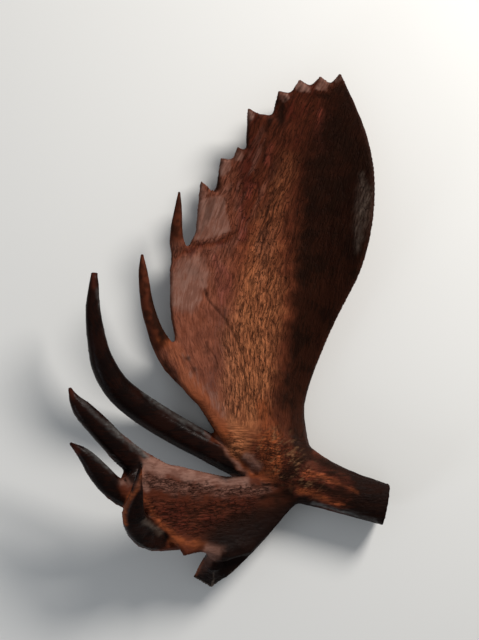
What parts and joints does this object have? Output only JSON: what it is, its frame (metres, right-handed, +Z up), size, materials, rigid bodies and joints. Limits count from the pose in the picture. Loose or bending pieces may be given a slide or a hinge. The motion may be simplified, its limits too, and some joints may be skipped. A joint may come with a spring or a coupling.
{
  "type": "moose antler",
  "caption": "Single moose antler with a cut beam, a broad dished main palm edged with short points and a small brow palm with curved tines, for display or craft.",
  "frame": {"origin": "centre of the bounding box's base, on the surface that the antler lies on", "axes": "+Z up out of the hollow side of the palms, +Y along the main palm towards its tip, +X towards the cut end of the beam"},
  "size_m": [0.4874, 0.7966, 0.2282],
  "materials": {
    "brown_bone": "red-brown stained bone with fine long grooves, satin, smoother and pinkish grey along the front edge",
    "dark_bone": "nearly black polished bone with a soft grey sheen and reddish tips"
  },
  "bodies": {
    "root": {"beam": "brown_bone", "main_palm": "brown_bone", "brow_palm": "brown_bone", "lower_palm_tine": "brown_bone", "upper_palm_tine": "brown_bone", "long_brow_tine": "dark_bone", "upper_brow_tine": "dark_bone", "lower_brow_tine": "dark_bone", "curled_brow_tine": "dark_bone", "broken_stub": "dark_bone"}
  },
  "joints": []
}
